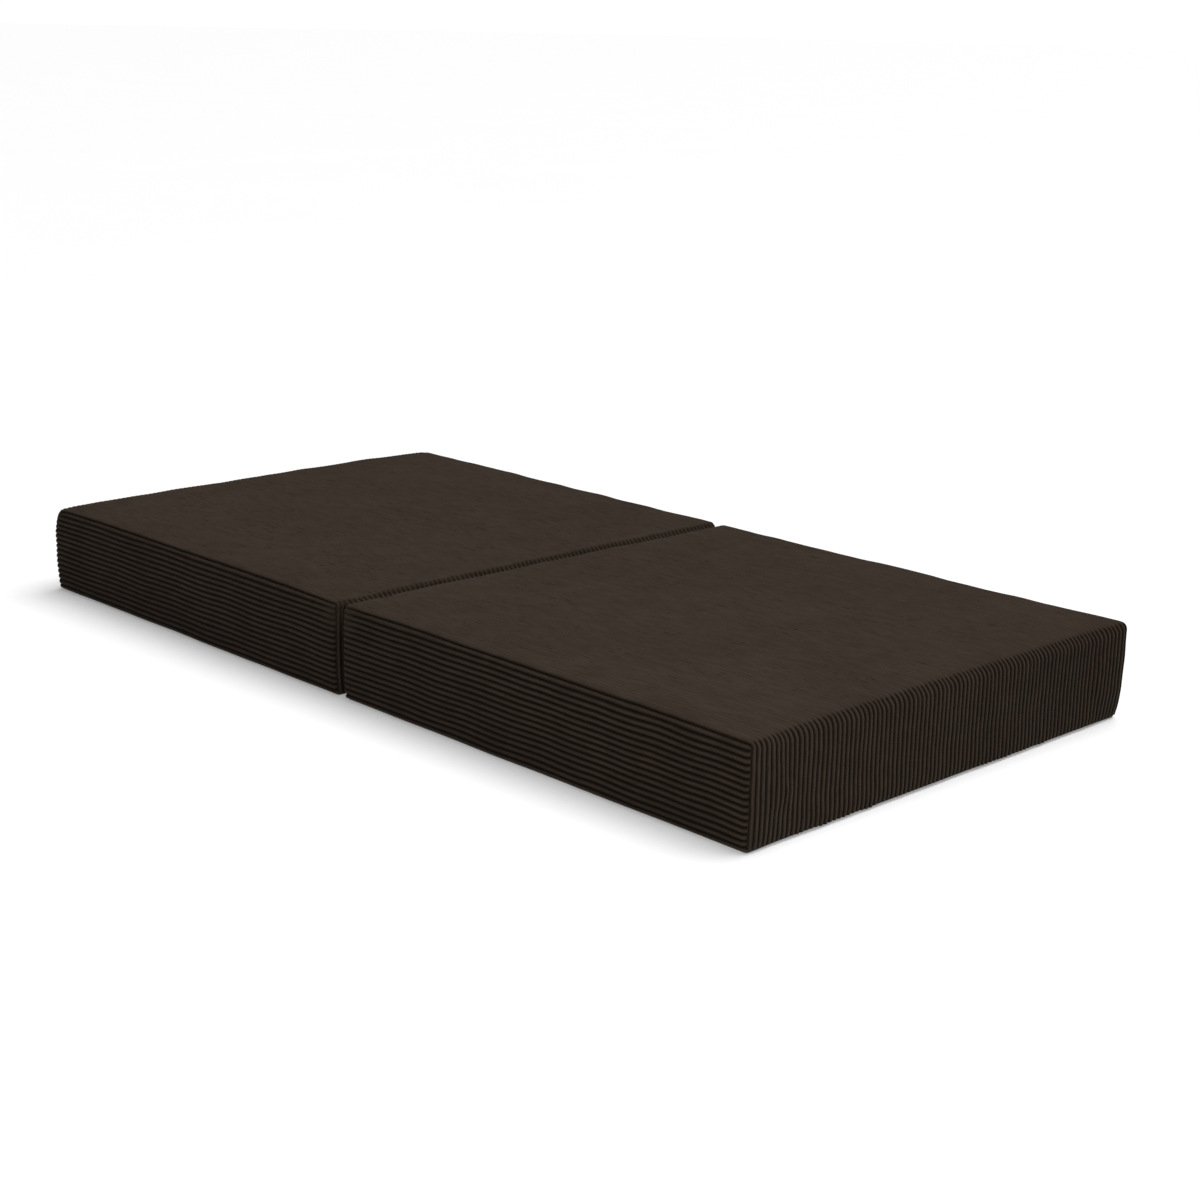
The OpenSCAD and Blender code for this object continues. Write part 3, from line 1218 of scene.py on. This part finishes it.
def make_finishes() -> dict[Slot, bpy.types.Material]:
    """Returns the material of every slot."""
    finishes = {
        Slot.CORDUROY: Corduroy(),
        Slot.BASE_CLOTH: Weave("base_cloth", (0.040, 0.033, 0.028), (0.016, 0.013, 0.011)),
        Slot.LINER_CLOTH: Weave("liner_cloth", (0.80, 0.78, 0.74), (0.58, 0.56, 0.52), 0.7 * MM),
        Slot.SUPPORT_FOAM: Foam("support_foam", (0.74, 0.72, 0.66), (0.45, 0.43, 0.39)),
        Slot.COMFORT_FOAM: Foam("comfort_foam", (0.82, 0.74, 0.52), (0.55, 0.48, 0.32)),
        Slot.ZIP_TAPE: Weave("zip_tape", (0.040, 0.031, 0.025), (0.016, 0.012, 0.010), 0.5 * MM),
        Slot.ZIP_COIL: CoilPlastic(),
        Slot.ZIP_METAL: AgedBrass(),
        Slot.LABEL_CLOTH: Weave("label_cloth", (0.42, 0.39, 0.34), (0.28, 0.26, 0.22), 0.4 * MM),
    }
    return {slot: finish.build() for slot, finish in finishes.items()}


def dress(piece: bpy.types.Object, body: str, slot: Slot, finishes: dict[Slot, bpy.types.Material],
          nodes: Sequence[str]) -> None:
    """Gives a piece its body, its finish and the CAD nodes that it stands for.

    Args:
        piece: The finished piece.
        body: The body that it rides on.
        slot: Its material slot.
        finishes: The material of every slot.
        nodes: The CAD nodes that it replaces.
    """
    piece.data.materials.clear()
    piece.data.materials.append(finishes[slot])
    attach(piece, body)
    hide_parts(*nodes)
    LOG.info("%s rides on %s", piece.name, body)


# ---------------------------------------------------------------- how a filled cover swells


@dataclass
class Swelling:
    """A cloth simulation of a block's closed cover under the foam's pressure.

    Attributes:
        form: The block.
        voxel: Size of the cloth's cells.
        pressure: How hard the foam pushes.
        frames: How long the cloth settles.
        cap: The furthest that the cover may move.
        height_share: How much of the movement up and down is kept.
        undersize: How much smaller the cover starts.
        stretch_stiffness: How hard the cloth resists stretching and shrinking.
        bend_stiffness: How hard it resists bending.
        cloth_mass: Mass of each of its points, in kilograms.
        grain: Spacing at which the movement is looked up.
        near_count: How many simulated points a place takes its movement from.
    """

    form: BlockForm
    voxel: float = 15.0 * MM
    pressure: float = 4.0
    frames: int = 20
    cap: float = 2.4 * MM
    height_share: float = 0.6
    undersize: float = 6.0 * MM
    stretch_stiffness: float = 30.0
    bend_stiffness: float = 2.0
    cloth_mass: float = 0.4
    grain: float = 4.0 * MM
    near_count: int = 6

    def start(self) -> bpy.types.Object:
        """Returns the cover before it swells, in the block's own frame."""
        form = self.form
        full = Vector((form.length, 2.0 * form.half_w, form.height))
        size = full - Vector((2.0, 2.0, 2.0)) * self.undersize
        centre = Vector((form.length / 2.0, 0.0, form.height / 2.0))
        mesh = bmesh.new()
        bmesh.ops.create_cube(mesh, size=1.0, matrix=box_matrix(centre, size))
        bmesh.ops.bevel(mesh, geom=mesh.edges[:], offset=form.hinge_top_r, affect="EDGES",
                        segments=3, profile=0.5, material=-1)
        cover = finish_mesh("swelling", mesh)
        skin = cover.modifiers.new("skin", "REMESH")
        skin.mode = "VOXEL"
        skin.voxel_size = self.voxel
        skin.use_smooth_shade = True
        self.bake(cover)
        return cover

    @staticmethod
    def bake(piece: bpy.types.Object) -> None:
        """Turns what the piece's modifiers give into its mesh."""
        graph = bpy.context.evaluated_depsgraph_get()
        made = bpy.data.meshes.new_from_object(piece.evaluated_get(graph))
        piece.modifiers.clear()
        piece.data = made

    @staticmethod
    def points(piece: bpy.types.Object) -> np.ndarray:
        """Returns the places of a piece's vertices."""
        flat = np.empty(3 * len(piece.data.vertices))
        piece.data.vertices.foreach_get("co", flat)
        return flat.reshape(-1, 3)

    def solve(self) -> Callable[[np.ndarray], np.ndarray]:
        """Runs the simulation.

        Returns:
            A function that gives the movement at points of the block.
        """
        cover = self.start()
        before = self.points(cover)
        cloth = cover.modifiers.new("cloth", "CLOTH")
        cloth.settings.quality = 4
        cloth.settings.mass = self.cloth_mass
        cloth.settings.tension_stiffness = self.stretch_stiffness
        cloth.settings.compression_stiffness = self.stretch_stiffness
        cloth.settings.bending_stiffness = self.bend_stiffness
        cloth.settings.use_pressure = True
        cloth.settings.uniform_pressure_force = self.pressure
        cloth.settings.effector_weights.gravity = 0.0
        cloth.point_cache.frame_end = self.frames
        for step in range(1, self.frames + 1):
            bpy.context.scene.frame_set(step)
        self.bake(cover)
        moved = self.points(cover) - before
        bpy.data.objects.remove(cover)
        bpy.context.scene.frame_set(1)
        return self.field(before, moved)

    def field(self, places: np.ndarray, moved: np.ndarray) -> Callable[[np.ndarray], np.ndarray]:
        """Turns the simulated points' movement into a field over the whole block.

        Args:
            places: The points before they moved.
            moved: How far each moved.

        Returns:
            A function that gives the movement at points of the block.
        """
        form = self.form
        middle = np.array([form.length / 2.0, 0.0, form.height / 2.0])
        share = (places - middle) / np.abs(places - middle).max(axis=0)
        edges = np.sort(np.abs(share), axis=1)[:, 1] > 0.9
        outward = (moved * np.sign(share))[edges].mean(axis=0)
        shift = moved - outward * share
        size = np.linalg.norm(shift, axis=1)
        shift *= (self.cap * np.tanh(size / self.cap) / np.maximum(size, 1e-9))[:, None]
        shift[:, 2] -= np.percentile(shift[share[:, 2] > 0.5, 2], 99)
        shift[:, 2] *= self.height_share
        tree = KDTree(len(places))
        for index, point in enumerate(places):
            tree.insert(point, index)
        tree.balance()
        LOG.info("the cover swells by %.1f mm at most", 1000.0 * np.abs(shift).max())

        def movement(points: np.ndarray) -> np.ndarray:
            """Returns how far the cover moves at each point of the block."""
            asked, back = np.unique(np.round(points / self.grain), axis=0, return_inverse=True)
            found = np.empty_like(asked)
            for row, point in enumerate(asked * self.grain):
                near = tree.find_n(point, self.near_count)
                pull = np.array([1.0 / (far + 3.0 * MM) ** 2 for _, _, far in near])
                found[row] = pull @ shift[[index for _, index, _ in near]] / pull.sum()
            held = found[back.reshape(-1)]
            level = smooth(points[:, 2] / (0.35 * form.height))
            held[:, 2] *= smooth(points[:, 2] / form.height)
            held[:, 0] *= smooth(points[:, 0] / (2.0 * form.reach))
            return held * level[:, None]

        return movement


# ---------------------------------------------------------------- a block


@dataclass
class Zip:
    """The zip along a block's far side: two tapes, two coils, stops, slider and pull.

    Attributes:
        block: Name of the block, head or foot.
        finishes: The material of every slot.
        tooth_pitch: Distance from one turn of a coil to the next.
        tooth_length: Length of a turn along the coil.
        tape_steps: How many times a tape is cut along its length.
        tooth_bevel: How far a turn's edges are cut back.
    """

    block: str
    finishes: dict[Slot, bpy.types.Material]
    tooth_pitch: float = 2.0 * MM
    tooth_length: float = 1.45 * MM
    tape_steps: int = 60
    tooth_bevel: float = 0.42 * MM

    def build(self) -> None:
        """Makes and dresses every piece of the zip."""
        body = f"{self.block}_block"
        for half, way in (("upper", 1.0), ("lower", -1.0)):
            tape, coil = f"{self.block}_zip_tape_{half}", f"{self.block}_zip_coil_{half}"
            dress(self.tape(tape), body, Slot.ZIP_TAPE, self.finishes, [tape])
            dress(self.coil(coil, way), body, Slot.ZIP_COIL, self.finishes, [coil])
        for part in ("zip_stops", "zip_slider", "zip_pull"):
            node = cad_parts[f"{self.block}_{part}"]
            node.data.materials.clear()
            node.data.materials.append(self.finishes[Slot.ZIP_METAL])
            LOG.info("%s keeps its packed shape", node.name)

    def tape(self, node: str) -> bpy.types.Object:
        """Makes one woven tape.

        Args:
            node: The CAD node whose place it takes.

        Returns:
            The finished tape.
        """
        low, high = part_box(node)
        size = high - low
        mesh = bmesh.new()
        bmesh.ops.create_cube(mesh, size=1.0, matrix=box_matrix((low + high) / 2.0, size))
        lengthwise = [edge for edge in mesh.edges if edge.calc_length() > 0.9 * size.x]
        bmesh.ops.subdivide_edges(mesh, edges=lengthwise, cuts=self.tape_steps)
        bmesh.ops.recalc_face_normals(mesh, faces=mesh.faces[:])
        piece = finish_mesh(f"fabric_{node}", mesh)
        for face in piece.data.polygons:
            face.use_smooth = False
        return piece

    def coil(self, node: str, way: float) -> bpy.types.Object:
        """Returns one coil, wound from equal turns.

        Args:
            node: The CAD node whose place it takes.
            way: 1 for the upper coil, whose turns point down, and -1 for the lower one.

        Returns:
            The finished coil.
        """
        low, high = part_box(node)
        size = high - low
        count = int(size.x / self.tooth_pitch)
        pitch = size.x / count
        mesh = bmesh.new()
        first = Vector((low.x + pitch / 2.0, (low.y + high.y) / 2.0, (low.z + high.z) / 2.0))
        tooth = Vector((self.tooth_length, size.y, size.z))
        turn = bmesh.ops.create_cube(mesh, size=1.0, matrix=box_matrix(first, tooth))["verts"]
        for vert in turn:
            if (vert.co.z - first.z) * way < 0.0:
                vert.co.x += 0.25 * self.tooth_pitch * way
        edges = list({edge for vert in turn for edge in vert.link_edges})
        bmesh.ops.bevel(mesh, geom=edges, offset=self.tooth_bevel, affect="EDGES", segments=1,
                        profile=0.5, material=-1)
        shape = mesh.verts[:] + mesh.edges[:] + mesh.faces[:]
        for step in range(1, count):
            copy = bmesh.ops.duplicate(mesh, geom=shape)["geom"]
            moved = [part for part in copy if isinstance(part, bmesh.types.BMVert)]
            bmesh.ops.translate(mesh, verts=moved, vec=(step * pitch, 0.0, 0.0))
        bmesh.ops.recalc_face_normals(mesh, faces=mesh.faces[:])
        return finish_mesh(f"wound_{node}", mesh)


@dataclass
class Block:
    """One foam block of the mattress in its cover.

    Attributes:
        block: Its name, head or foot.
        side: 1 for the foot block and -1 for the head block.
        seed: Picks its unevenness.
        finishes: The material of every slot.
        wales: The ribs of the cover's cloth.
        slot_half_h: Half the height of the zip's slot.
        liner_t: Thickness of the liner.
        liner_r: Radius of the liner's edges.
        corner_top_r: Radius of the top's outer corners.
        end_r: Radius between the top and the outer end.
        foam_inset: How far the foams stand in from their CAD boxes, in millimetres.
        comfort_drop: How much lower the comfort foam ends, in millimetres.
        liner_inset: How far the liner stands in from its CAD box, in millimetres.
        liner_drop: How much lower the liner ends, in millimetres.
        label_t: Thickness of the care label.
        label_stand: How far the label stands off the side's sharp face.
    """

    block: str
    side: int
    seed: int
    finishes: dict[Slot, bpy.types.Material]
    wales: Wales = field(default_factory=Wales)
    slot_half_h: float = 5.25 * MM
    liner_t: float = 0.8 * MM
    liner_r: float = 24.0 * MM
    corner_top_r: float = 13.0 * MM
    end_r: float = 21.0 * MM
    foam_inset: tuple[float, float, float] = (13.0, 13.0, 3.0)
    comfort_drop: tuple[float, float, float] = (0.0, 0.0, 7.0)
    liner_inset: tuple[float, float, float] = (11.0, 11.0, 3.0)
    liner_drop: tuple[float, float, float] = (0.0, 0.0, 4.0)
    label_t: float = 0.45 * MM
    label_stand: float = 0.9 * MM

    def form(self) -> BlockForm:
        """Returns the block's soft form, sized by its CAD panels."""
        low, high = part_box(f"{self.block}_wrap_panel")
        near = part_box(f"{self.block}_near_side_panel")[0]
        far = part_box(f"{self.block}_far_side_panel")[1]
        inner, outer = sorted((abs(low.x), abs(high.x)))
        return BlockForm(self.side, inner, outer - inner, (far.y - near.y) / 2.0, high.z, self.seed,
                         end_r=self.end_r, corner_top_r=self.corner_top_r)

    def build(self) -> None:
        """Makes and dresses every piece of the block."""
        form = self.form()
        swell = Swelling(form).solve()
        self.fill(form, swell)
        self.cover(form, swell)
        Zip(self.block, self.finishes).build()
        self.label(form, swell)

    def fill(self, form: BlockForm, swell: Callable[[np.ndarray], np.ndarray] | None) -> None:
        """Makes the two slabs of foam and the liner round them.

        Args:
            form: The block's soft form.
            swell: How the filled cover moves each point, or None.
        """
        body = f"{self.block}_block"

        def follow(points: np.ndarray) -> np.ndarray:
            """Returns points of the object's frame, moved as the cover round them moves."""
            x = form.side * points[:, 0] - form.hinge_x
            local = np.stack([x, points[:, 1], points[:, 2]], axis=1)
            moved = form.settle(local)
            return form.to_world(moved if swell is None else moved + swell(local))

        for part, slot in (("support_foam", Slot.SUPPORT_FOAM), ("comfort_foam", Slot.COMFORT_FOAM)):
            node = f"{self.block}_{part}"
            low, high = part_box(node)
            inset = Vector(self.foam_inset) * MM
            drop = Vector(self.comfort_drop) * MM if slot is Slot.COMFORT_FOAM else Vector()
            slab = InnerPad(low + inset, high - inset - drop).build(f"{self.block}_{part}_slab", follow)
            dress(slab, body, slot, self.finishes, [node])
        node = f"{self.block}_liner"
        low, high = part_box(node)
        inset = Vector(self.liner_inset) * MM
        drop = Vector(self.liner_drop) * MM
        liner = InnerPad(low + inset, high - inset - drop, self.liner_r)
        liner = liner.build(f"{self.block}_liner_sock", follow, self.liner_t)
        dress(liner, body, Slot.LINER_CLOTH, self.finishes, [node])

    def cover(self, form: BlockForm, swell: Callable[[np.ndarray], np.ndarray] | None) -> None:
        """Makes the four panels of the cover.

        Args:
            form: The block's soft form.
            swell: How the filled cover moves each point, or None.
        """
        body = f"{self.block}_block"
        wide = cloth_width(2.0 * form.half_w, form.shoulder_r, form.shoulder_r)
        high = cloth_width(form.height, form.shoulder_r, form.base_r)
        wrap = WrapPanel(form, self.wales, swell).build(f"{self.block}_cover_wrap")
        dress(wrap, body, Slot.CORDUROY, self.finishes, [f"{self.block}_wrap_panel"])
        form.length + 2.0 * high
        lower, upper = (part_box(f"{self.block}_zip_tape_{half}") for half in ("lower", "upper"))
        ends = sorted(abs(corner.x) - form.hinge_x for corner in upper)
        zip_slot = ZipSlot(*ends, (lower[0].z + upper[1].z) / 2.0, self.slot_half_h)
        for name, way, slot in (("near", -1, None), ("far", 1, zip_slot)):
            side = SidePanel(form, self.wales, swell, way, slot).build(f"{self.block}_cover_{name}_side")
            dress(side, body, Slot.CORDUROY, self.finishes, [f"{self.block}_{name}_side_panel"])
        base = BasePanel(form, self.wales).build(f"{self.block}_cover_base")
        dress(base, body, Slot.BASE_CLOTH, self.finishes, [f"{self.block}_base_panel"])
        2.0 * form.half_w

    def label(self, form: BlockForm, swell: Callable[[np.ndarray], np.ndarray] | None) -> None:
        """Makes the blank care label on the far side.

        Args:
            form: The block's soft form.
            swell: How the filled cover moves each point, or None.
        """
        node = f"{self.block}_care_label"
        low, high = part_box(node)
        start, end = sorted((abs(low.x) - form.hinge_x, abs(high.x) - form.hinge_x))
        x, z = np.linspace(start, end, 9), np.linspace(low.z, high.z, 12)
        panel = CorduroyPanel(form, self.wales, swell)

        def place(column: np.ndarray, row: np.ndarray) -> np.ndarray:
            """Returns each vertex's place, as for cloth on the crest of a wale."""
            y = np.full(len(row), form.half_w + self.label_stand)
            far = np.full(len(row), 1.0)
            return panel.lay(np.stack([x[column], y, z[row]], axis=1), far, far, far)

        sheet = Sheet(f"{self.block}_care_label_tag", len(x), len(z), self.label_t)
        tag = sheet.build(place, x, z, outward=lambda centre: Vector((0.0, 1.0, 0.0)))
        dress(tag, f"{self.block}_block", Slot.LABEL_CLOTH, self.finishes, [node])
        end - start


@dataclass
class Mattress:
    """The folding mattress: two blocks and the strip that hinges them.

    Attributes:
        finishes: The material of every slot.
        bend_half: Half the width over which the strip bends; not used.
    """

    finishes: dict[Slot, bpy.types.Material]
    bend_half: float = 8.0 * MM

    def build(self) -> None:
        """Makes and dresses both blocks and the hinge strip."""
        head = Block("head", -1, 31, self.finishes, corner_top_r=32.0 * MM, end_r=15.0 * MM)
        foot = Block("foot", 1, 57, self.finishes)
        head.build()
        foot.build()
        low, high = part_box("foot_hinge_strip_half")
        strip = HingeStrip(foot.form(), foot.wales, (high.y - low.y) / 2.0)
        piece = strip.build("hinge_strip")
        self.hold_strip(piece, low.z)
        reach = 2.0 * (strip.form.hinge_x + strip.tuck_in)

    def hold_strip(self, piece: bpy.types.Object, height: float) -> None:
        """Dresses the hinge strip, bakes its transform and hides the CAD strip halves.

        Args:
            piece: The strip.
            height: Height of the strip; not used.
        """
        piece.data.materials.clear()
        piece.data.materials.append(self.finishes[Slot.CORDUROY])
        -self.bend_half
        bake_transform(piece)
        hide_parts("head_hinge_strip_half", "foot_hinge_strip_half")
        LOG.info("%s bends between the blocks", piece.name)


# ---------------------------------------------------------------- studio


@dataclass(frozen=True)
class Studio:
    """A plain pale floor under soft light, and the camera.

    Attributes:
        lens: The camera's focal length, in millimetres.
        yaw: How far the camera is turned about the upright, in radians.
        pitch: How far it looks down, in radians.
        roll: How far it leans, in radians.
        stand: Where it stands.
        floor_size: Length of the floor's side.
        floor_dark: The floor's darker grey.
        floor_light: The floor's lighter grey.
        floor_glow: How much the floor shines by itself.
        sky: How strongly the sky lights the scene.
        horizon: How bright the sky itself looks.
        overhead_way: Direction of the overhead lamp.
        overhead_power: Its strength, in watts for each square metre.
        overhead_spread: The angle that it covers, in degrees.
        window_place: Where the lamp beside the mattress stands.
        window_aim: The point that it faces.
        window_power: Its power, in watts.
        window_size: Length of its side.
    """

    lens: float = 62.84
    yaw: float = 0.7972
    pitch: float = 0.268
    roll: float = 0.0223
    stand: tuple[float, float, float] = (2.7913, -2.5817, 1.1392)
    floor_size: float = 400.0
    floor_glow: float = 0.23
    sky: float = 0.09
    horizon: float = 1.05
    floor_dark: Colour = (0.72, 0.72, 0.72)
    floor_light: Colour = (0.74, 0.74, 0.74)
    overhead_way: tuple[float, float, float] = (0.12, 0.34, 1.0)
    overhead_power: float = 3.35
    overhead_spread: float = 56.0
    window_place: tuple[float, float, float] = (2.5, -2.3, 1.2)
    window_aim: tuple[float, float, float] = (0.7, -0.2, 0.1)
    window_power: float = 43.0
    window_size: float = 1.4

    def build(self) -> None:
        """Makes the floor, the lights and the camera."""
        scene = bpy.context.scene
        scene.view_settings.view_transform = "Standard"
        self.floor()
        self.lights()
        scene.camera = self.camera()

    def floor(self) -> None:
        """Makes the floor."""
        mesh = bmesh.new()
        bmesh.ops.create_grid(mesh, x_segments=1, y_segments=1, size=self.floor_size / 2.0)
        ground = finish_mesh("studio_floor", mesh)
        graph = Graph("studio_floor")
        tone = graph.noise(graph.place(), 0.7, 2.0)
        ground.data.materials.append(graph.close({
            "Base Color": graph.blend(tone, self.floor_dark, self.floor_light), "Roughness": 0.75,
            "Emission Color": (1.0, 1.0, 1.0, 1.0), "Emission Strength": self.floor_glow}))

    def lights(self) -> None:
        """Makes the sky and the soft lamps."""
        scene = bpy.context.scene
        sky = scene.world or bpy.data.worlds.new("studio_sky")
        scene.world = sky
        sky.use_nodes = True
        nodes, links = sky.node_tree.nodes, sky.node_tree.links
        seen = nodes.new("ShaderNodeLightPath")
        strength = nodes.new("ShaderNodeMapRange")
        strength.inputs["To Min"].default_value = self.sky
        strength.inputs["To Max"].default_value = self.horizon
        links.new(seen.outputs["Is Camera Ray"], strength.inputs["Value"])
        links.new(strength.outputs[0], nodes["Background"].inputs["Strength"])
        nodes["Background"].inputs["Color"].default_value = (1.0, 1.0, 1.0, 1.0)
        sun = bpy.data.lights.new("overhead", "SUN")
        sun.energy = self.overhead_power
        sun.angle = math.radians(self.overhead_spread)
        self.hang(sun, Vector(self.overhead_way))
        window = bpy.data.lights.new("window", "AREA")
        window.energy = self.window_power
        window.size = self.window_size
        lamp = self.hang(window, Vector(self.window_place) - Vector(self.window_aim))
        lamp.location = self.window_place

    @staticmethod
    def hang(light: bpy.types.Light, way: Vector) -> bpy.types.Object:
        """Hangs a lamp at the origin.

        Args:
            light: The lamp's settings.
            way: Direction from what it lights towards it.

        Returns:
            The lamp.
        """
        lamp = bpy.data.objects.new(light.name, light)
        lamp.rotation_mode = "QUATERNION"
        lamp.rotation_quaternion = (-way).to_track_quat("-Z", "Y")
        bpy.context.scene.collection.objects.link(lamp)
        return lamp

    def camera(self) -> bpy.types.Object:
        """Returns the camera."""
        data = bpy.data.cameras.new("camera")
        data.lens = self.lens
        camera = bpy.data.objects.new("camera", data)
        bpy.context.scene.collection.objects.link(camera)
        level_part = math.cos(self.pitch)
        back = Vector((math.sin(self.yaw) * level_part, -math.cos(self.yaw) * level_part,
                       math.sin(self.pitch)))
        level = Vector((math.cos(self.yaw), math.sin(self.yaw), 0.0))
        up = back.cross(level)
        right = math.cos(self.roll) * level + math.sin(self.roll) * up
        top = math.cos(self.roll) * up - math.sin(self.roll) * level
        turn = Matrix((right, top, back)).transposed()
        camera.matrix_world = Matrix.Translation(self.stand) @ turn.to_4x4()
        return camera


def main() -> None:
    """Builds the mattress and the studio."""
    logging.basicConfig(level=logging.INFO, format="%(message)s")
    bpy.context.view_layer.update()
    Studio().build()
    Mattress(make_finishes()).build()


if __name__ == "__main__":
    main()
